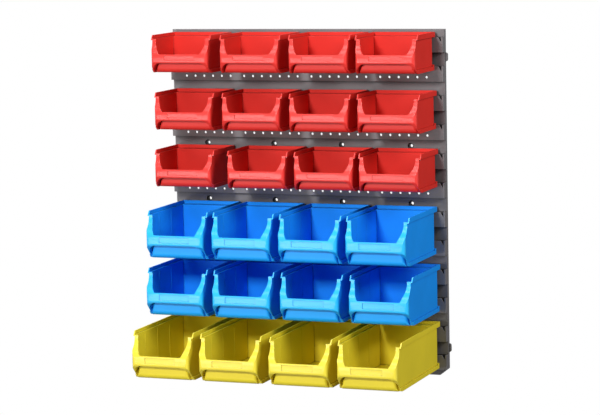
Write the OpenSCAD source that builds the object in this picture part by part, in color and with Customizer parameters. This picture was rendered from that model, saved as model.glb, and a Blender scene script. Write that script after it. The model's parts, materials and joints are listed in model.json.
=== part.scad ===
// Wall-mounted bin rack: a louvred wall panel with open-fronted storage bins hooked onto it.
// X runs to the right, Y towards the wall and Z up. The wall is the plane Y = 0, and the origin
// is the middle of the outer wall screws.

/* [Panel] */
// Height of one louvre, from one tongue to the next
louvre_pitch = 46; // [42:0.5:54]
// Height of a louvre's tongue, the plate that the bins hook onto
tongue_height = 24; // [20:0.5:28]
// Distance from the panel's top edge down to the first tongue
slot_drop = 12; // [10:0.5:16]
// How far the flat bands stand off the wall
band_depth = 8; // [6:0.5:12]
// How far the tongues stand proud of the bands
tongue_rise = 10; // [9:0.5:14]
// Thickness of the panel's plates and ribs
panel_skin = 2.5; // [1.5:0.1:3]
// How far a band runs on behind the tongue below it
band_tail = 12; // [9:0.5:14]
// Width of the slanted relief at each end of a tongue
relief_width = 5.5; // [3:0.5:8]
// Height of that relief
relief_height = 8; // [5:0.5:12]
// Width of the chamfer on the panel's bottom corners
chamfer_width = 14; // [8:1:20]
// Height of that chamfer
chamfer_height = 11; // [8:1:16]

/* [Panel holes] */
// Diameter of the small holes in every second tongue
hole_diameter = 4; // [3:0.5:6]
// Distance between neighbouring small holes
hole_pitch = 15.4; // [12:0.1:16.5]
// Height of the small holes above the lower edge of their tongue
hole_lift = 7; // [5.5:0.5:10]
// Diameter of the wall screw holes
screw_diameter = 5; // [4:0.1:6]
// Diameter of the recess round a wall screw hole
screw_recess_diameter = 10; // [8:0.5:11]
// Depth of that recess
screw_recess_depth = 4; // [2:0.5:5]
// Wall round a screw hole's boss
boss_wall = 4; // [3:0.5:6]

/* [Joining tabs] */
// How far a joining tab stands out of the panel's right side
tab_reach = 3.4; // [2:0.1:5]
// Height of a joining tab
tab_height = 14; // [10:1:20]
// Depth of a joining tab
tab_depth = 5; // [3:0.5:7]
// Distance from a tab's middle to the panel's nearest end
tab_inset = 44; // [30:1:60]
// Clearance of the notch that takes a neighbour's tab
tab_clearance = 0.4; // [0.2:0.1:1]

/* [Bins] */
// Width of every bin over its rim
bin_width = 102; // [90:1:115]
// Gap between neighbouring columns of bins when they hang centred
bin_gap = 14; // [12:1:24]
// Depth of a small bin, hook included
small_depth = 100; // [85:1:130]
// Height of a small bin
small_height = 60; // [54:1:70]
// Depth of a middle bin, hook included
middle_depth = 160; // [130:1:190]
// Depth of a long bin, hook included
long_depth = 215; // [180:1:250]
// Height of the middle and long bins
tall_height = 75; // [66:1:80]
// Wall thickness of the bins
bin_wall = 2; // [1.5:0.1:2.5]
// Height of the rim
rim_height = 8; // [6:0.5:10]
// How far the rim steps out past the side walls
rim_step = 2.4; // [2.2:0.1:4]

/* [Bin front] */
// Radius of the upright front corners
corner_radius = 6; // [4:0.5:10]
// Height of a small bin's front wall
small_sill = 29.5; // [26:0.5:33]
// Height of the other bins' front wall
tall_sill = 38; // [34:0.5:42]
// How far below the sill the front begins to lean back
nose_drop = 6; // [4:0.5:7]
// Radius of the nose, where the front turns back to the legs
nose_radius = 8; // [4:0.5:9]
// Angle at which the legs beside the grip run back
leg_lean = 45; // [38:1:50]
// How far the top of a small bin's front leans back
small_lean = 8.5; // [6:0.5:11]
// How far the top of the other bins' front leans back
tall_lean = 15; // [10:0.5:18]
// How far the front ends of the rim lean back over their height
ear_lean = 5; // [3:0.5:8]
// Width of the front opening at its sill
sill_width = 69; // [60:1:74]
// Width of the pillars beside the top of the opening
pillar_width = 6; // [4.5:0.5:8]
// Width of the shallow label recess
label_width = 51; // [40:1:58]
// Depth of the label recess
label_depth = 1.2; // [0.5:0.1:1.3]
// Margin between the label recess and the sill
label_drop = 2.5; // [1.5:0.5:4]
// Margin between the label recess and the grip
label_lift = 4.5; // [3.5:0.5:5.5]

/* [Finger grip] */
// Height of a small bin's finger grip
small_grip = 16; // [13:0.5:18]
// Height of the other bins' finger grip
tall_grip = 22; // [18:0.5:25]
// Depth of the finger grip in its middle
grip_depth = 12; // [9:0.5:14]
// Radius of the grip's upper corners
grip_radius = 15; // [12:0.5:18]
// Width that the grip leaves of the legs beside it
leg_width = 1.2; // [1:0.1:2]
// Gap between a leg and the grip's bulging back wall, at its foot
roll_gap = 2.4; // [1.5:0.1:4]
// How far that gap runs back past the front of the bulge
gap_depth = 9; // [6:0.5:11]
// Angle at which the ends of the bulge draw in towards its top
roll_slant = 10; // [4:1:15]
// Radius of the bulge at its ends
roll_end = 4; // [3:0.5:6]
// Radius of the bulge at its foot
roll_foot = 8; // [5:0.5:10]

/* [Hook and rails] */
// Distance from a bin's back wall to the tongue
stand_off = 4.8; // [3.5:0.1:7]
// Thickness of the hook's lip
hook_wall = 2; // [1.5:0.1:2.5]
// How far the hook's lip reaches down behind the tongue
hook_drop = 7; // [5:0.5:9]
// Clearance between the hook's lip and the tongue
hook_clearance = 0.4; // [0.3:0.1:1]
// How far the hook's lip stops short of each side of the rim
hook_inset = 6; // [4:0.5:12]
// How far the bottom rails stand out of the side walls
rail_step = 2; // [1.5:0.1:3.5]
// Length of the taper at the front end of a rail
rail_taper = 16; // [8:1:24]
// Height of the bottom rails
rail_height = 6; // [4:0.5:8]
// Height of the stubs at the back ends of the rails
stub_height = 9; // [7:0.5:12]
// Clearance between the stubs and the tongue that they lean on
stub_clearance = 0.3; // [0.2:0.1:0.8]

/* [Divider ribs] */
// Distance from the front of a middle or long bin to its first pair of ribs
rib_start = 51; // [45:1:60]
// Distance from one pair of ribs to the next
rib_pitch = 48; // [40:1:52]
// Width of a rib
rib_width = 1.6; // [1.2:0.1:2.4]
// How far a rib stands out of the side wall
rib_step = 0.5; // [0.4:0.1:1.2]

/* [Hidden] */
// What the rack holds
columns = 4;
louvres = 12;
bin_rows = 6;
louvres_per_row = 2;
// How far each bin hangs off the middle of its column, row by row from the top left
hung_aside = [
    [-3, -1, -1, -6.5],
    [0, 0, -2, -5],
    [-2, 7, 4, -4],
    [6.5, 2, -2, -7],
    [4, 1, -1, -3],
    [1, -1, -1, -4.5]
];
// Louvres with screw holes in the band under their tongue: the middle one and one row of bins away
middle_louvre = louvres / 2 - 1;
screw_louvres = [for (step = [-1 : 1]) middle_louvre + step * louvres_per_row];
holes_per_column = 7;
overshoot = 1;
round_steps = 48;

// Panel sizes that follow
column_pitch = bin_width + bin_gap;
panel_width = columns * column_pitch;
panel_height = louvres * louvre_pitch;
band_height = louvre_pitch - tongue_height;
half_width = panel_width / 2;
half_inside = half_width - panel_skin;
tongue_depth = band_depth + tongue_rise;
band_back = panel_skin - band_depth;
top_z = panel_height / 2 + slot_drop - band_height / 2;
bottom_z = top_z - panel_height;
hole_span = (holes_per_column - 1) / 2;

// Bin sizes that follow
body_half = bin_width / 2 - rim_step;
cavity_half = body_half - bin_wall;
grip_half = body_half - leg_width;
rail_half = body_half + rail_step;
hook_reach = stand_off + panel_skin + hook_clearance + hook_wall;
back_wall_y = -tongue_depth - stand_off;

// Kinds of bin: depth, height, sill height, grip height, lean of the front and pairs of ribs
small_kind = [small_depth, small_height, small_sill, small_grip, small_lean, 0];
middle_kind = [middle_depth, tall_height, tall_sill, tall_grip, tall_lean, 2];
long_kind = [long_depth, tall_height, tall_sill, tall_grip, tall_lean, 3];

panel_grey = [0.36, 0.36, 0.37];
bin_red = [0.86, 0.14, 0.11];
bin_blue = [0.10, 0.47, 0.90];
bin_yellow = [0.93, 0.80, 0.14];

// Height of the top and of the lower edge of a louvre's tongue
function slot_z(index) = top_z - slot_drop - index * louvre_pitch;
function lip_z(index) = slot_z(index) - tongue_height;

// Middle of a column
function column_x(column) = (column - (columns - 1) / 2) * column_pitch;

// A box between two corners
module box(low, high) {
    translate(low) cube(high - low);
}

// A cylinder along X or along Y, given its axis point and its ends
module bar_x(radius, y, z, from, to) {
    translate([from, y, z]) rotate([0, 90, 0]) cylinder(r = radius, h = to - from, $fn = round_steps);
}

module bar_y(radius, x, z, from, to) {
    translate([x, from, z]) rotate([-90, 0, 0]) cylinder(r = radius, h = to - from, $fn = round_steps);
}

// A plate cut from an outline in X and Z, between two depths
module plate_xz(outline, from, to) {
    translate([0, to, 0]) rotate([90, 0, 0]) linear_extrude(to - from) polygon(outline);
}

// A plate cut from an outline in Y and Z, between two sideways places
module plate_yz(outline, from, to) {
    translate([from, 0, 0]) rotate([90, 0, 90]) linear_extrude(to - from) polygon(outline);
}

// The panel's outline in X and Z, drawn in by an inset that also follows the chamfers
function panel_outline(inset) =
    let (
        right = half_width - inset,
        low = bottom_z + inset,
        slope = chamfer_height / chamfer_width,
        length = norm([chamfer_width, chamfer_height]),
        cut = chamfer_height - inset * (1 + slope - length / chamfer_width)
    )
    [
        [-right, top_z - inset], [right, top_z - inset],
        [right, low + cut], [right - cut / slope, low],
        [-right + cut / slope, low], [-right, low + cut]
    ];

// The stepped side of the panel in Y and Z, from the wall to the bands and tongues
function stepped_side() = concat(
    [[0, bottom_z], [0, top_z], [-band_depth, top_z]],
    [for (index = [0 : louvres - 1]) each [
        [-band_depth, slot_z(index)], [-tongue_depth, slot_z(index)],
        [-tongue_depth, lip_z(index)], [-band_depth, lip_z(index)]
    ]],
    [[-band_depth, bottom_z]]
);

// The side of an upright stiffener behind the bands, rooted in the frame and in the top band
function stiffener_side() =
    let (
        root = panel_skin / 2,
        step_z = slot_z(0) - band_tail + root
    )
    [
        [0, bottom_z + root], [0, top_z - root], [band_back - root, top_z - root],
        [band_back - root, step_z], [band_back, step_z], [band_back, bottom_z + root]
    ];

// The rounded tab that locks panels side by side, and the notch for a neighbour's tab
module joining_tab(side, middle, grow) {
    radius = tab_reach + grow;
    half = tab_height / 2 + grow;
    intersection() {
        union() {
            box([side - panel_skin, -tab_depth - grow, middle - half + radius],
                [side + radius, grow, middle + half - radius]);
            for (end = [-1, 1])
                bar_y(radius, side, middle + end * (half - radius), -tab_depth - grow, grow);
        }
        box([side - panel_skin, -tab_depth - grow, middle - half], [side + radius, grow, middle + half]);
    }
}

module panel_frame() {
    color(panel_grey) {
        difference() {
            union() {
                difference() {
                    plate_xz(panel_outline(0), -band_depth, 0);
                    plate_xz(panel_outline(panel_skin), -band_depth - overshoot, overshoot);
                }
                intersection() {
                    union() {
                        plate_yz(stepped_side(), -half_width, -half_inside);
                        plate_yz(stepped_side(), half_inside, half_width);
                    }
                    plate_xz(panel_outline(0), -tongue_depth, 0);
                }
                box([-half_inside - panel_skin / 2, -band_depth, slot_z(0) - band_tail],
                    [half_inside + panel_skin / 2, band_back, top_z - panel_skin / 2]);
            }
            for (middle = [top_z - tab_inset, bottom_z + tab_inset])
                joining_tab(-half_width, middle, tab_clearance);
        }
        for (column = [1 : columns - 1])
            let (middle = column_x(column) - column_pitch / 2)
                plate_yz(stiffener_side(), middle - panel_skin / 2, middle + panel_skin / 2);
        for (middle = [top_z - tab_inset, bottom_z + tab_inset])
            joining_tab(half_width, middle, 0);
    }
}

// The slanted relief beside a tongue's end, on the right
function relief_outline(index) = [
    [half_inside - relief_width, slot_z(index)],
    [half_inside - relief_width, slot_z(index) + overshoot],
    [half_inside + overshoot, slot_z(index) + overshoot],
    [half_inside + overshoot, slot_z(index) - relief_height],
    [half_inside, slot_z(index) - relief_height]
];

// A row of small holes through a tongue, seven to a column without the two outermost
module small_holes(index) {
    for (column = [0 : columns - 1], step = [-hole_span : hole_span])
        let (x = column_x(column) + step * hole_pitch)
            if (abs(x) < half_width - column_pitch / 2 + hole_span * hole_pitch - hole_pitch / 2)
                bar_y(hole_diameter / 2, x, lip_z(index) + hole_lift,
                    -tongue_depth - overshoot, -tongue_depth + panel_skin + overshoot);
}

// One louvre: a tongue, the ledge under it and the band below
module louvre(index) {
    last = index == louvres - 1;
    band_end = last ? bottom_z + panel_skin : slot_z(index + 1) - band_tail;
    screw_z = lip_z(index) - band_height / 2;
    screwed = len(search(index, screw_louvres)) > 0;
    boss_radius = screw_diameter / 2 + boss_wall;
    color(panel_grey) difference() {
        union() {
            box([-half_inside, -tongue_depth, lip_z(index)],
                [half_inside, -tongue_depth + panel_skin, slot_z(index)]);
            box([-half_inside, -tongue_depth, lip_z(index)],
                [half_inside, band_back, lip_z(index) + panel_skin]);
            box([-half_inside, -band_depth, band_end],
                [half_inside, band_back, lip_z(index) + panel_skin]);
            if (screwed)
                for (column = [0 : columns - 1])
                    bar_y(boss_radius, column_x(column), screw_z, -band_depth, 0);
        }
        for (side = [0, 1])
            mirror([side, 0, 0])
                plate_xz(relief_outline(index),
                    -tongue_depth - overshoot, -tongue_depth + panel_skin + overshoot);
        if (index % 2 == 1) small_holes(index);
        if (screwed)
            for (column = [0 : columns - 1]) {
                bar_y(screw_diameter / 2, column_x(column), screw_z, -band_depth - overshoot, overshoot);
                bar_y(screw_recess_diameter / 2, column_x(column), screw_z,
                    -band_depth - overshoot, -band_depth + screw_recess_depth);
            }
        if (last) difference() {
            box([-panel_width, -tongue_depth - overshoot, bottom_z - overshoot],
                [panel_width, overshoot, lip_z(index) + tongue_height]);
            plate_xz(panel_outline(panel_skin), -panel_width, panel_width);
        }
    }
}

// The space behind a bin's front, drawn in by an inset. Seen from the side, the front runs up and
// forward along the legs to a round nose, stands upright at the label and swings back to the rim in
// two arcs of one radius.
module behind_front(kind, front, inset, back) {
    rim_low = kind[1] - rim_height;
    grip = kind[3];
    high = kind[2] - nose_drop;
    lean = kind[4];
    rise = rim_low - high;
    sweep = (rise * rise + lean * lean) / (4 * lean);
    bend = high + rise / 2 * (1 - inset / sweep);
    top = kind[1] + overshoot;
    radius = nose_radius - inset;
    nose_y = front + nose_radius;
    nose_z = grip + nose_radius * (1 - cos(leg_lean)) / sin(leg_lean);
    foot = front + (grip * sin(leg_lean) + inset * (1 - sin(leg_lean))) / cos(leg_lean);
    plate_yz([
        [foot, inset], [nose_y - radius * cos(leg_lean), nose_z - radius * sin(leg_lean)],
        [front + inset, nose_z], [front + inset, high], [back, high], [back, inset]
    ], -bin_width, bin_width);
    bar_x(radius, nose_y, nose_z, -bin_width, bin_width);
    bar_x(sweep - inset, front + sweep, high, -bin_width, bin_width);
    box([-bin_width, front + sweep, high], [bin_width, back, bend]);
    difference() {
        box([-bin_width, front, bend], [bin_width, back, top]);
        bar_x(sweep + inset, front + lean - sweep, rim_low, -bin_width - overshoot, bin_width + overshoot);
        box([-bin_width - overshoot, front - overshoot, rim_low],
            [bin_width + overshoot, front + lean + inset, top + overshoot]);
    }
}

// A block with round upright front corners
module round_front_block(half, front, back, low, high, radius) {
    box([-half, front + radius, low], [half, back, high]);
    box([-half + radius, front, low], [half - radius, back, high]);
    for (side = [-1, 1])
        translate([side * (half - radius), front + radius, low])
            cylinder(r = radius, h = high - low, $fn = round_steps);
}

// The outline of the grip's bulge in X and Z, drawn in by an inset
function roll_outline(inset, top) =
    let (
        low_half = grip_half - roll_gap - inset / cos(roll_slant),
        high_half = low_half - top * tan(roll_slant)
    )
    [[-low_half, 0], [low_half, 0], [high_half, top], [-high_half, top]];

// The bulging back wall of the grip, a block that rounds away at its ends and at its foot
module grip_roll(front, height, inset) {
    face = front + grip_depth;
    axis = face + roll_foot;
    back = face + gap_depth + bin_wall / 2 + inset;
    top = height + bin_wall / 2 + inset;
    radius = roll_end - inset;
    end_x = grip_half - roll_gap - roll_end / cos(roll_slant);
    intersection() {
        union() {
            plate_xz(roll_outline(inset, top), face + roll_end, back);
            plate_xz(roll_outline(roll_end, top), face + inset, back);
            for (side = [0, 1])
                mirror([side, 0, 0])
                    translate([end_x, face + roll_end, 0])
                        rotate([0, -roll_slant, 0])
                            translate([0, 0, -roll_end])
                                cylinder(r = radius, h = 2 * top, $fn = round_steps);
        }
        union() {
            bar_x(roll_foot - inset, axis, roll_foot, -bin_width, bin_width);
            box([-bin_width, axis, inset], [bin_width, back, top]);
            box([-bin_width, face + inset, roll_foot], [bin_width, back, top]);
        }
    }
}

// The arch of the finger grip under the front, grown by a wall for the inside of the bin
module grip_arch(front, height, grow) {
    half = grip_half + grow;
    radius = grip_radius + grow;
    deep = front + grip_depth + gap_depth + grow;
    foot = -2 * grip_radius;
    box([-half, front - overshoot, foot - radius], [half, deep, height + grow - radius]);
    box([-half + radius, front - overshoot, foot], [half - radius, deep, height + grow]);
    for (side = [-1, 1])
        bar_y(radius, side * (half - radius), height + grow - radius, front - overshoot, deep);
}

// The front opening, from the sill up past the rim, with pillars that swing in towards the sill
module front_opening(kind, front) {
    sill = kind[2];
    rim_low = kind[1] - rim_height;
    deep = front + kind[4] + 2 * bin_wall;
    top_half = body_half - pillar_width;
    travel = top_half - sill_width / 2;
    rise = rim_low - sill;
    swing = (rise * rise + travel * travel) / (2 * travel);
    middle = top_half - swing;
    for (side = [0, 1])
        mirror([side, 0, 0]) intersection() {
            box([-overshoot, front - overshoot, sill], [top_half, deep, rim_low]);
            union() {
                bar_y(swing, middle, rim_low, front - 2 * overshoot, deep + overshoot);
                box([-2 * overshoot, front - 2 * overshoot, sill - overshoot],
                    [max(middle, 0), deep + overshoot, rim_low + overshoot]);
            }
        }
    box([-top_half, front - overshoot, rim_low], [top_half, deep, kind[1] + overshoot]);
}

// The outside of a bin below its rim: walls and rails behind the front, with the grip's arch cut out
module bin_outside(kind, front) {
    rail_front = front + kind[3];
    rail_start = rail_front - rail_taper;
    rail_outline = [
        [cavity_half, rail_start], [body_half, rail_start],
        [rail_half, rail_front], [rail_half, 0], [cavity_half, 0]
    ];
    difference() {
        intersection() {
            union() {
                round_front_block(body_half, front, 0, 0, kind[1] - rim_height + bin_wall, corner_radius);
                for (side = [0, 1])
                    mirror([side, 0, 0]) linear_extrude(rail_height) polygon(rail_outline);
            }
            behind_front(kind, front, 0, 0);
        }
        grip_arch(front, kind[3], 0);
    }
}

// One bin with its back wall's outer face at Y = 0 and its foot at Z = 0
module bin_body(kind) {
    front = hook_reach - kind[0];
    height = kind[1];
    sill = kind[2];
    grip = kind[3];
    ear = front + kind[4];
    rim_low = height - rim_height;
    rim_half = bin_width / 2;
    difference() {
        union() {
            bin_outside(kind, front);
            grip_roll(front, grip, 0);
            plate_yz([[ear, rim_low], [hook_reach, rim_low], [hook_reach, height], [ear + ear_lean, height]],
                -rim_half, rim_half);
            box([-rim_half + hook_inset, hook_reach - hook_wall, rim_low - hook_drop],
                [rim_half - hook_inset, hook_reach, height]);
            for (side = [0, 1])
                mirror([side, 0, 0])
                    box([cavity_half, -bin_wall, 0], [rail_half, stand_off - stub_clearance, stub_height]);
        }
        difference() {
            intersection() {
                round_front_block(cavity_half, front + bin_wall, -bin_wall, bin_wall, height + overshoot,
                    corner_radius - bin_wall);
                behind_front(kind, front, bin_wall, 0);
            }
            grip_arch(front, grip, bin_wall);
            for (pair = [1 : 1 : kind[5]], side = [0, 1])
                let (middle = front + rib_start + (pair - 1) * rib_pitch)
                    mirror([side, 0, 0])
                        box([cavity_half - rib_step, middle - rib_width / 2, 0],
                            [body_half, middle + rib_width / 2, rim_low]);
        }
        grip_roll(front, grip, bin_wall);
        box([-rim_half + bin_wall, front - overshoot, rim_low + bin_wall],
            [rim_half - bin_wall, hook_reach - hook_wall, height + overshoot]);
        front_opening(kind, front);
        box([-label_width / 2, front - overshoot, grip + label_lift],
            [label_width / 2, front + label_depth, sill - label_drop]);
    }
}

// A bin hooked onto its tongue, in a row and a column counted from the top left
module hung_bin(kind, row, column) {
    x = column_x(column) + hung_aside[row][column];
    foot_z = slot_z(row * louvres_per_row) + rim_height - kind[1];
    translate([x, back_wall_y, foot_z]) bin_body(kind);
}

module red_bin(row, column) {
    color(bin_red) hung_bin(small_kind, row, column);
}

module blue_bin(row, column) {
    color(bin_blue) hung_bin(middle_kind, row, column);
}

module yellow_bin(row, column) {
    color(bin_yellow) hung_bin(long_kind, row, column);
}

// A node's name from its family, its row and its column
function bin_name(family, row, column) = str(family, "_bin_", row + 1, column + 1);
function louvre_name(index) = str("louvre_", index < 9 ? "0" : "", index + 1);

panel_frame();
for (index = [0 : louvres - 1])
    louvre(index);
for (row = [0 : 2], column = [0 : columns - 1])
    red_bin(row, column);
for (row = [3 : 4], column = [0 : columns - 1])
    blue_bin(row, column);
for (column = [0 : columns - 1])
    yellow_bin(bin_rows - 1, column);
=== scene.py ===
# %% [markdown]
# A wall rack of storage bins
#
# The object is a dark grey louvred panel with rows of plastic bins hooked onto it. Its sizes come
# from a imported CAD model, which is loaded first and never moved. This lesson dresses that model:
# it sets up a small photo studio, makes the plastics, and gives every moulded edge its soft round.

# %% Load the frame
import json
import math

import bmesh
import bpy
from mathutils import Matrix, Vector

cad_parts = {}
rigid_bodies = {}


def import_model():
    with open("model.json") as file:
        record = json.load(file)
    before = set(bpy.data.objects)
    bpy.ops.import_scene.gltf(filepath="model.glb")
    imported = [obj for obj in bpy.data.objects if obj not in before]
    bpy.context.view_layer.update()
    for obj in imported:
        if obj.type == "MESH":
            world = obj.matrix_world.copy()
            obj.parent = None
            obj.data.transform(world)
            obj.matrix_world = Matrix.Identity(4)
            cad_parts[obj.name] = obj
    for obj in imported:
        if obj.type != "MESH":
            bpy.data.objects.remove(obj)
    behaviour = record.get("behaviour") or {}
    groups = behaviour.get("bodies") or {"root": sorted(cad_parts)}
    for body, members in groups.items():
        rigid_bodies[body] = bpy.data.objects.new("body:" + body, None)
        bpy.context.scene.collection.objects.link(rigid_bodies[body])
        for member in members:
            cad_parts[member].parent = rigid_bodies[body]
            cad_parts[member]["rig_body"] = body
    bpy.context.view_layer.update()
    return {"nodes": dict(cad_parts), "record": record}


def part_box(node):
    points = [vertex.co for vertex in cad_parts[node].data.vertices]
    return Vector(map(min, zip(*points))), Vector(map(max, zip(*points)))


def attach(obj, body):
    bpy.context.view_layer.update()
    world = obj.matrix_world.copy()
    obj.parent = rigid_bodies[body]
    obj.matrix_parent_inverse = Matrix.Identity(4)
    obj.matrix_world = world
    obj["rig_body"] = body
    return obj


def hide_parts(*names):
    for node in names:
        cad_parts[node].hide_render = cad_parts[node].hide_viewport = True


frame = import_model()
MM = 0.001

# %% [markdown]
# The camera
#
# A catalogue picture is taken from far away with a long lens, so that upright lines stay nearly
# parallel. The camera stands to the right of the rack and a little above its middle. It is placed
# by two angles and a distance from the point it looks at, because these are what a photographer
# would change, and a small roll levels the picture as in the photograph.

# %% Place the camera
CAMERA_AZIMUTH = math.radians(20.72)
CAMERA_ELEVATION = math.radians(7.25)
CAMERA_ROLL = math.radians(-1.17)
CAMERA_DISTANCE = 3.797
CAMERA_AIM = Vector((0.0116, -0.080, -0.0014))
CAMERA_LENS = 143.7


def aimed(azimuth, elevation):
    """The direction from a thing towards a place at these angles, where azimuth 0 is the front."""
    return Vector((
        math.sin(azimuth) * math.cos(elevation),
        -math.cos(azimuth) * math.cos(elevation),
        math.sin(elevation),
    ))


scene = bpy.context.scene
camera = bpy.data.objects.new("camera", bpy.data.cameras.new("camera"))
scene.collection.objects.link(camera)
camera.data.lens = CAMERA_LENS
towards_camera = aimed(CAMERA_AZIMUTH, CAMERA_ELEVATION)
turned = (-towards_camera).to_track_quat("-Z", "Y").to_matrix() @ Matrix.Rotation(CAMERA_ROLL, 3, "Z")
camera.matrix_world = Matrix.Translation(CAMERA_AIM + towards_camera * CAMERA_DISTANCE) @ turned.to_4x4()
scene.camera = camera
scene.view_settings.view_transform = "Standard"
print("camera at", [round(place, 3) for place in camera.location])

# %% [markdown]
# The studio
#
# The background is plain white. The world gives an even fill. It looks white only to the camera and in
# reflections, which Light Path tells apart, so that the fill itself can stay weak. Five lamps do the
# rest. A small key lamp ahead and above casts the crisp shadows under the tongues and rims. A low
# sheen lamp at the left is what the upright label faces mirror. A large top lamp lights the insides,
# and a side lamp keeps the right sides readable. A back lamp shows the hollow side of the panel when the
# rack is turned. Behind the rack hangs a dark cloth, which photographers call a flag. It is seen only
# in reflections and keeps a white haze off the sides of the bins. There is no floor, because the
# photograph shows none and the rack hangs high on a wall.

# %% Light the rack
FILL = 0.14
BACKGROUND = 1.0
FLAG_BEHIND = 0.6
FLAG_SIZE = 2.0


def seen_or_reflected(nodes, links):
    """A socket that is 1 for rays from the camera, from mirrors and through glass, and 0 for the rest."""
    path = nodes.new("ShaderNodeLightPath")
    most = path.outputs["Is Camera Ray"]
    for name in ("Is Glossy Ray", "Is Transmission Ray"):
        larger = nodes.new("ShaderNodeMath")
        larger.operation = "MAXIMUM"
        links.new(most, larger.inputs[0])
        links.new(path.outputs[name], larger.inputs[1])
        most = larger.outputs[0]
    return most


world = bpy.data.worlds.new("studio")
scene.world = world
world.use_nodes = True
tree = world.node_tree
sky = tree.nodes["Background"]
sky.inputs["Color"].default_value = (1.0, 1.0, 1.0, 1.0)
strength = tree.nodes.new("ShaderNodeMix")
strength.inputs[2].default_value = FILL
strength.inputs[3].default_value = BACKGROUND
tree.links.new(seen_or_reflected(tree.nodes, tree.links), strength.inputs[0])
tree.links.new(strength.outputs[0], sky.inputs["Strength"])


def soft_lamp(name, azimuth, elevation, distance, size, power):
    """A square area lamp that points at the middle of the rack."""
    lamp = bpy.data.objects.new(name, bpy.data.lights.new(name, "AREA"))
    scene.collection.objects.link(lamp)
    lamp.data.size = size
    lamp.data.energy = power
    direction = aimed(math.radians(azimuth), math.radians(elevation))
    turn = (-direction).to_track_quat("-Z", "Y").to_matrix().to_4x4()
    lamp.matrix_world = Matrix.Translation(direction * distance) @ turn
    return lamp


soft_lamp("key_lamp", azimuth=-2.5, elevation=20, distance=2.55, size=0.3, power=37)
soft_lamp("sheen_lamp", azimuth=-21, elevation=-6, distance=2.5, size=0.85, power=15)
soft_lamp("top_lamp", azimuth=-20, elevation=46, distance=2.4, size=0.9, power=14)
soft_lamp("side_lamp", azimuth=74, elevation=30, distance=2.5, size=1.0, power=34)
soft_lamp("back_lamp", azimuth=-140, elevation=30, distance=2.5, size=1.0, power=36)


def stage_sheet(name, size, placed):
    """A flat square that belongs to the studio and not to the rack."""
    bm = bmesh.new()
    bmesh.ops.create_grid(bm, x_segments=1, y_segments=1, size=size, matrix=placed)
    mesh = bpy.data.meshes.new(name)
    bm.to_mesh(mesh)
    bm.free()
    sheet = bpy.data.objects.new(name, mesh)
    scene.collection.objects.link(sheet)
    return sheet


upright = Matrix.Rotation(math.radians(90), 4, "X")
flag = stage_sheet("dark_flag", FLAG_SIZE, Matrix.Translation((0, FLAG_BEHIND, 0)) @ upright)
flag.visible_camera = False
flag.visible_diffuse = False
flag.visible_shadow = False

flag_cloth = bpy.data.materials.new("flag_cloth")
flag_cloth.use_nodes = True
cloth = flag_cloth.node_tree.nodes["Principled BSDF"]
cloth.inputs["Base Color"].default_value = (0.02, 0.02, 0.02, 1.0)
cloth.inputs["Roughness"].default_value = 0.95
flag.data.materials.append(flag_cloth)

# %% [markdown]
# Effects that the plastics share
#
# Moulded plastic is never one flat colour. Pigment mixes unevenly, the mould leaves a fine grain and
# handling polishes some places more than others. Edges look paler, which is partly wear and partly painted
# highlight, and narrow corners look darker, which is painted shade. Each effect is a node group with its
# own inputs, so every plastic can use it with other values. A group puts out only a colour, a roughness or
# a height, and the shader stays in the material. The corners are found by ambient occlusion within the
# piece. Their painted shade is set so that it brings out the fine dark lines at the rims and labels, which
# the lamps alone leave fainter than in the photograph.

# %% Make the node groups
# A Mix node keeps the sockets of every data type, so its colour sockets are found by number.
MIX_SHARE = 0
MIX_FIRST = 6
MIX_SECOND = 7
MIX_RESULT = 2
EDGE_SAMPLES = 6
CORNER_SAMPLES = 8


def new_group(name, inputs, outputs):
    """An empty shader group with named sockets, and its input and output nodes."""
    group = bpy.data.node_groups.new(name, "ShaderNodeTree")
    for label, kind, value in inputs:
        socket = group.interface.new_socket(name=label, in_out="INPUT", socket_type=kind)
        socket.default_value = value
    for label, kind in outputs:
        group.interface.new_socket(name=label, in_out="OUTPUT", socket_type=kind)
    start = group.nodes.new("NodeGroupInput")
    end = group.nodes.new("NodeGroupOutput")
    return group, start, end


def noise(tree, scale_socket, detail, roughness=0.55, stretch=None):
    """A noise texture on Object coordinates, stretched along an axis where asked."""
    place = tree.nodes.new("ShaderNodeTexCoord")
    source = place.outputs["Object"]
    if stretch:
        mapping = tree.nodes.new("ShaderNodeMapping")
        mapping.inputs["Scale"].default_value = stretch
        tree.links.new(source, mapping.inputs["Vector"])
        source = mapping.outputs["Vector"]
    texture = tree.nodes.new("ShaderNodeTexNoise")
    texture.inputs["Detail"].default_value = detail
    texture.inputs["Roughness"].default_value = roughness
    tree.links.new(source, texture.inputs["Vector"])
    tree.links.new(scale_socket, texture.inputs["Scale"])
    return texture


def feed(tree, socket, value):
    """Links an input to a socket, or sets it to a plain value."""
    if isinstance(value, bpy.types.NodeSocket):
        tree.links.new(value, socket)
    else:
        socket.default_value = value


def remap(tree, source, low, high, to_low, to_high):
    """The result of a Map Range node between two spans, whose ends may be sockets or numbers."""
    node = tree.nodes.new("ShaderNodeMapRange")
    tree.links.new(source, node.inputs["Value"])
    for label, value in (("From Min", low), ("From Max", high), ("To Min", to_low), ("To Max", to_high)):
        feed(tree, node.inputs[label], value)
    return node.outputs["Result"]


def mix_colours(tree, share, first, second):
    """Two colours mixed by a share, as a colour socket."""
    node = tree.nodes.new("ShaderNodeMix")
    node.data_type = "RGBA"
    for place, value in ((MIX_SHARE, share), (MIX_FIRST, first), (MIX_SECOND, second)):
        feed(tree, node.inputs[place], value)
    return node.outputs[MIX_RESULT]


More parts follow.
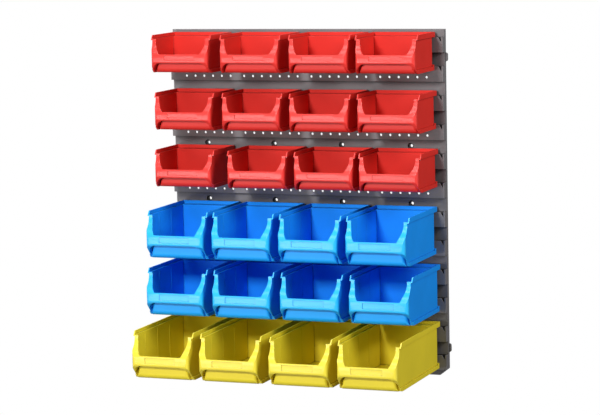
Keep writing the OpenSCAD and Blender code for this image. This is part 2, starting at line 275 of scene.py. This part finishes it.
pigment, start, end = new_group(
    "uneven pigment",
    [("Colour", "NodeSocketColor", (0.5, 0.5, 0.5, 1.0)),
     ("Scale", "NodeSocketFloat", 14.0),
     ("Amount", "NodeSocketFloat", 0.10)],
    [("Colour", "NodeSocketColor")],
)
cloud = noise(pigment, start.outputs["Scale"], detail=4.0)
darker = mix_colours(pigment, start.outputs["Amount"], start.outputs["Colour"], (0.0, 0.0, 0.0, 1.0))
spread = remap(pigment, cloud.outputs["Fac"], 0.3, 0.7, 0.0, 1.0)
pigment.links.new(mix_colours(pigment, spread, start.outputs["Colour"], darker), end.inputs["Colour"])

grain, start, end = new_group(
    "mould grain",
    [("Scale", "NodeSocketFloat", 900.0), ("Height", "NodeSocketFloat", 0.5)],
    [("Height", "NodeSocketFloat")],
)
fine = noise(grain, start.outputs["Scale"], detail=2.0)
relief = remap(grain, fine.outputs["Fac"], 0.25, 0.75, 0.0, start.outputs["Height"])
grain.links.new(relief, end.inputs["Height"])

handling, start, end = new_group(
    "handled gloss",
    [("Scale", "NodeSocketFloat", 22.0),
     ("Polished", "NodeSocketFloat", 0.30),
     ("Dull", "NodeSocketFloat", 0.42)],
    [("Roughness", "NodeSocketFloat")],
)
smear = noise(handling, start.outputs["Scale"], detail=5.0, roughness=0.6, stretch=(1.0, 1.0, 2.2))
gloss = remap(handling, smear.outputs["Fac"], 0.3, 0.7, start.outputs["Polished"], start.outputs["Dull"])
handling.links.new(gloss, end.inputs["Roughness"])

# Paler edges, partly wear and partly painted highlight: a lighter colour where the Bevel node's normal
# turns away from the face's.
edges, start, end = new_group(
    "rubbed edges",
    [("Colour", "NodeSocketColor", (0.5, 0.5, 0.5, 1.0)),
     ("Rubbed", "NodeSocketColor", (0.8, 0.8, 0.8, 1.0)),
     ("Radius", "NodeSocketFloat", 0.0008),
     ("Amount", "NodeSocketFloat", 0.4)],
    [("Colour", "NodeSocketColor")],
)
rounded = edges.nodes.new("ShaderNodeBevel")
rounded.samples = EDGE_SAMPLES
edges.links.new(start.outputs["Radius"], rounded.inputs["Radius"])
facing = edges.nodes.new("ShaderNodeNewGeometry")
agree = edges.nodes.new("ShaderNodeVectorMath")
agree.operation = "DOT_PRODUCT"
edges.links.new(rounded.outputs["Normal"], agree.inputs[0])
edges.links.new(facing.outputs["Normal"], agree.inputs[1])
near_edge = remap(edges, agree.outputs["Value"], 0.99, 0.75, 0.0, start.outputs["Amount"])
edges.links.new(
    mix_colours(edges, near_edge, start.outputs["Colour"], start.outputs["Rubbed"]), end.inputs["Colour"])

# Painted shade: a darker copy of the colour where ambient occlusion finds a narrow corner.
painted_corner_shade, start, end = new_group(
    "painted corner shade",
    [("Colour", "NodeSocketColor", (0.5, 0.5, 0.5, 1.0)),
     ("Shade", "NodeSocketColor", (0.05, 0.05, 0.05, 1.0)),
     ("Reach", "NodeSocketFloat", 0.003),
     ("None Above", "NodeSocketFloat", 0.7),
     ("Full Below", "NodeSocketFloat", 0.2),
     ("Amount", "NodeSocketFloat", 0.5)],
    [("Colour", "NodeSocketColor")],
)
openness = painted_corner_shade.nodes.new("ShaderNodeAmbientOcclusion")
openness.samples = CORNER_SAMPLES
openness.only_local = True
painted_corner_shade.links.new(start.outputs["Reach"], openness.inputs["Distance"])
painted_shade_share = remap(
    painted_corner_shade, openness.outputs["AO"], start.outputs["None Above"], start.outputs["Full Below"],
    0.0, start.outputs["Amount"])
painted_corner_shade.links.new(
    mix_colours(painted_corner_shade, painted_shade_share, start.outputs["Colour"], start.outputs["Shade"]), end.inputs["Colour"])
print("node groups:", [group.name for group in bpy.data.node_groups])

# %% [markdown]
# The plastics
#
# The bins are polypropylene in three strong colours, and the panel is a duller dark grey of the same kind.
# One function chains the groups: pigment, paler edges of wear and painted highlight, and painted corner
# shade into the colour, handling into the roughness and grain into a bump. In the photograph the label
# face and the posts of a bin shine and look lighter than its sides. A mould polished there would explain
# it, but the photograph cannot tell that from light. So the front gets a smoother gloss and a stronger
# reflection, and a lighter colour that is painted sheen; both are matched. A mark on the mesh, made
# further down, says which faces get them. What differs between the plastics is given as values.

# %% Mix the plastics
GLOSS_AND_SHEEN_MARK = "gloss_and_painted_sheen"
PLASTIC_IOR = 1.49
GRAIN_STRENGTH = 0.25
GRAIN_DEPTH = 0.2 * MM
BIN_SHINE = (0.17, 0.35)
PANEL_SHINE = (0.3, 0.4)
PAINTED_SHADE_FACTOR = 0.12
BIN_PAINTED_CORNERS = {"Reach": 2.5 * MM, "None Above": 0.88, "Full Below": 0.4, "Amount": 0.75}
PANEL_PAINTED_CORNERS = {"Reach": 9 * MM, "None Above": 0.9, "Full Below": 0.45, "Amount": 0.95}


def place_group(tree, group, **values):
    """A group node in a material, with its inputs set by label."""
    node = tree.nodes.new("ShaderNodeGroup")
    node.node_tree = group
    for label, value in values.items():
        node.inputs[label].default_value = value
    return node


def plastic(name, colour, front, rubbed_and_highlit, polished, dull, matt, shine, grain_height, mottle, corners):
    """A moulded plastic: a mottled colour with a lighter front of painted sheen, paler edges of wear and
    painted highlight, painted shade in the corners, uneven gloss and a grain.
    """
    material = bpy.data.materials.new(name)
    material.use_nodes = True
    tree = material.node_tree
    shader = tree.nodes["Principled BSDF"]
    shader.inputs["IOR"].default_value = PLASTIC_IOR
    tint = place_group(tree, pigment, Colour=(*colour, 1.0), Amount=mottle)
    # The mark mixes in the front colour, a lighter tone that is painted sheen; it also makes the front
    # smoother and more reflective.
    gloss_and_sheen_mark = tree.nodes.new("ShaderNodeAttribute")
    gloss_and_sheen_mark.attribute_name = GLOSS_AND_SHEEN_MARK
    painted_sheen_front = mix_colours(tree, gloss_and_sheen_mark.outputs["Fac"], tint.outputs["Colour"], (*front, 1.0))
    # Paler edges: partly wear, partly painted highlight.
    worn_and_highlit = place_group(tree, edges, Rubbed=(*rubbed_and_highlit, 1.0))
    tree.links.new(painted_sheen_front, worn_and_highlit.inputs["Colour"])
    # Painted shade in the corners: a darker copy of the plastic's own colour.
    shade = [PAINTED_SHADE_FACTOR * part for part in colour]
    darkened = place_group(tree, painted_corner_shade, Shade=(*shade, 1.0), **corners)
    tree.links.new(worn_and_highlit.outputs["Colour"], darkened.inputs["Colour"])
    tree.links.new(darkened.outputs["Colour"], shader.inputs["Base Color"])
    sheen = place_group(tree, handling, Polished=polished, Dull=dull)
    duller = tree.nodes.new("ShaderNodeMath")
    duller.operation = "ADD"
    tree.links.new(sheen.outputs["Roughness"], duller.inputs[0])
    tree.links.new(remap(tree, gloss_and_sheen_mark.outputs["Fac"], 0.0, 1.0, matt, 0.0), duller.inputs[1])
    tree.links.new(duller.outputs[0], shader.inputs["Roughness"])
    tree.links.new(
        remap(tree, gloss_and_sheen_mark.outputs["Fac"], 0.0, 1.0, *shine), shader.inputs["Specular IOR Level"])
    texture = place_group(tree, grain, Height=grain_height)
    bump = tree.nodes.new("ShaderNodeBump")
    bump.inputs["Strength"].default_value = GRAIN_STRENGTH
    bump.inputs["Distance"].default_value = GRAIN_DEPTH
    tree.links.new(texture.outputs["Height"], bump.inputs["Height"])
    tree.links.new(bump.outputs["Normal"], shader.inputs["Normal"])
    return material


BIN_FINISH = {
    "polished": 0.20, "dull": 0.23, "matt": 0.35, "shine": BIN_SHINE, "grain_height": 0.25,
    "corners": BIN_PAINTED_CORNERS,
}
PANEL_FINISH = {
    "polished": 0.40, "dull": 0.55, "matt": 0.0, "shine": PANEL_SHINE, "grain_height": 0.8,
    "corners": PANEL_PAINTED_CORNERS,
}
PANEL_GREY = (0.200, 0.190, 0.197)
# Each front colour is lighter than its body colour: painted sheen on the label face and posts.
PLASTICS = {
    "red_plastic": plastic(
        "red_plastic", colour=(0.74, 0.030, 0.021), front=(0.80, 0.042, 0.034),
        rubbed_and_highlit=(0.90, 0.16, 0.11), mottle=0.10, **BIN_FINISH),
    "blue_plastic": plastic(
        "blue_plastic", colour=(0.008, 0.32, 1.0), front=(0.02, 0.50, 1.0),
        rubbed_and_highlit=(0.13, 0.46, 1.0), mottle=0.10, **BIN_FINISH),
    "yellow_plastic": plastic(
        "yellow_plastic", colour=(0.88, 0.71, 0.033), front=(0.88, 0.73, 0.05),
        rubbed_and_highlit=(0.97, 0.86, 0.24), mottle=0.08, **BIN_FINISH),
    "panel_plastic": plastic(
        "panel_plastic", colour=PANEL_GREY, front=PANEL_GREY,
        rubbed_and_highlit=(0.26, 0.255, 0.26), mottle=0.16, **PANEL_FINISH),
}
print("plastics:", list(PLASTICS))

# %% [markdown]
# The dark of the slots
#
# Behind each tongue of the panel is the slot that takes a bin's hook. In the photograph the slots look
# nearly black. The lamps here reach further in, so a dark shade makes up the difference. It is a colour
# and not a shadow, and shows from behind too. The tongues repeat at an even pitch, which the frame tells,
# so a mask can be worked out from the height alone: a fraction of the pitch, limited to the depth behind
# the tongues and to the width between the panel's edges.

# %% Darken the slots
top_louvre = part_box("louvre_01")
next_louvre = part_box("louvre_02")
LOUVRE_PITCH = top_louvre[1].z - next_louvre[1].z
SLOT_SHARE = 0.5
TONGUE_SKIN = 2.6 * MM
# Painted shade in the slots: how far their colour is mixed towards near black.
SLOT_SHADE = 0.85
SLOT_BLACK = (0.004, 0.004, 0.004, 1.0)


def worked_out(tree, operation, first, second):
    """The result of a Math node on two sockets or numbers."""
    node = tree.nodes.new("ShaderNodeMath")
    node.operation = operation
    for place, value in enumerate((first, second)):
        feed(tree, node.inputs[place], value)
    return node.outputs[0]


def paint_slot_shade(material):
    """Puts painted shade on what lies behind the tongues, between the colour and the shader."""
    tree = material.node_tree
    place = tree.nodes.new("ShaderNodeTexCoord")
    axes = tree.nodes.new("ShaderNodeSeparateXYZ")
    tree.links.new(place.outputs["Object"], axes.inputs[0])
    below_first = worked_out(tree, "SUBTRACT", top_louvre[1].z, axes.outputs["Z"])
    share = worked_out(tree, "FRACT", worked_out(tree, "DIVIDE", below_first, LOUVRE_PITCH), 0.0)
    in_slot = worked_out(tree, "LESS_THAN", share, SLOT_SHARE)
    behind = worked_out(tree, "GREATER_THAN", axes.outputs["Y"], top_louvre[0].y + TONGUE_SKIN)
    sideways = worked_out(tree, "ABSOLUTE", axes.outputs["X"], 0.0)
    between = worked_out(tree, "LESS_THAN", sideways, top_louvre[1].x)
    mask = worked_out(tree, "MULTIPLY", worked_out(tree, "MULTIPLY", in_slot, behind), between)
    mask = worked_out(tree, "MULTIPLY", mask, SLOT_SHADE)
    colour = tree.nodes["Principled BSDF"].inputs["Base Color"]
    shaded = mix_colours(tree, mask, colour.links[0].from_socket, SLOT_BLACK)
    tree.links.new(shaded, colour)


paint_slot_shade(PLASTICS["panel_plastic"])
print("louvre pitch in millimetres:", round(LOUVRE_PITCH / MM, 2))

# %% [markdown]
# Soft edges for moulded pieces
#
# The CAD solids have knife-sharp edges, and no moulding does: an edge without a round catches no
# light. The CAD mesh itself stays untouched, so a copy is dressed. Its loose triangles are merged,
# flat groups of them are dissolved into whole faces, and every edge that turns sharply is bevelled.
# Normals weighted by face size keep the large faces flat beside the narrow rounds. The front of each bin
# gets the mark for its smoother gloss and its lighter colour of painted sheen, which is weaker on the
# finger grip.

# %% Round the edges of a copy
SHARP = math.radians(28)
FLAT = math.radians(0.4)
WELD = 0.001 * MM
ROUND_SEGMENTS = 2
BIN_EDGE = 0.35 * MM
PANEL_EDGE = 0.25 * MM
FRONT_DEPTH = 24 * MM
GRIP_SHARE = 0.28
GRIP_GLOSS_AND_SHEEN = 0.4


def softened(node, width):
    """A bmesh copy of a CAD node with its sharp edges rounded."""
    bm = bmesh.new()
    bm.from_mesh(frame["nodes"][node].data)
    bmesh.ops.remove_doubles(bm, verts=bm.verts, dist=WELD)
    bmesh.ops.dissolve_limit(bm, angle_limit=FLAT, verts=bm.verts, edges=bm.edges)
    sharp = [edge for edge in bm.edges if len(edge.link_faces) == 2 and edge.calc_face_angle(0) > SHARP]
    bmesh.ops.bevel(
        bm, geom=sharp, offset=width, offset_type="OFFSET", affect="EDGES", segments=ROUND_SEGMENTS,
        profile=0.5, clamp_overlap=False, material=-1)
    return bm


def mark_gloss_and_sheen(bm, node):
    """Marks the front of a bin for a smoother gloss and a painted sheen, and its finger grip partly so."""
    low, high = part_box(node)
    grip_top = low.z + GRIP_SHARE * (high.z - low.z)
    gloss_and_painted_sheen = bm.faces.layers.float.new(GLOSS_AND_SHEEN_MARK)
    for face in bm.faces:
        if max(vert.co.y for vert in face.verts) < low.y + FRONT_DEPTH:
            face[gloss_and_painted_sheen] = 1.0 if face.calc_center_median().z > grip_top else GRIP_GLOSS_AND_SHEEN


def as_piece(bm, name, node, slot):
    """A finished object from a bmesh: it replaces a CAD node, rides on its body and has its plastic."""
    mesh = bpy.data.meshes.new(name)
    bm.to_mesh(mesh)
    piece = bpy.data.objects.new(name, mesh)
    scene.collection.objects.link(piece)
    mesh.materials.append(PLASTICS[slot])
    mesh.shade_smooth()
    mesh.set_sharp_from_angle(angle=SHARP)
    flattened = piece.modifiers.new("flattened", "WEIGHTED_NORMAL")
    flattened.keep_sharp = True
    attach(piece, frame["nodes"][node]["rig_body"])
    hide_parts(node)
    return piece


slots = {entry["node"]: entry["material_slot"] for entry in frame["record"]["subparts"]}
for node in sorted(frame["nodes"]):
    is_bin = "bin" in node
    bm = softened(node, BIN_EDGE if is_bin else PANEL_EDGE)
    if is_bin:
        mark_gloss_and_sheen(bm, node)
    piece = as_piece(bm, node + "_moulding", node, slots[node])
    print(piece.name, len(bm.faces), "faces")
    bm.free()
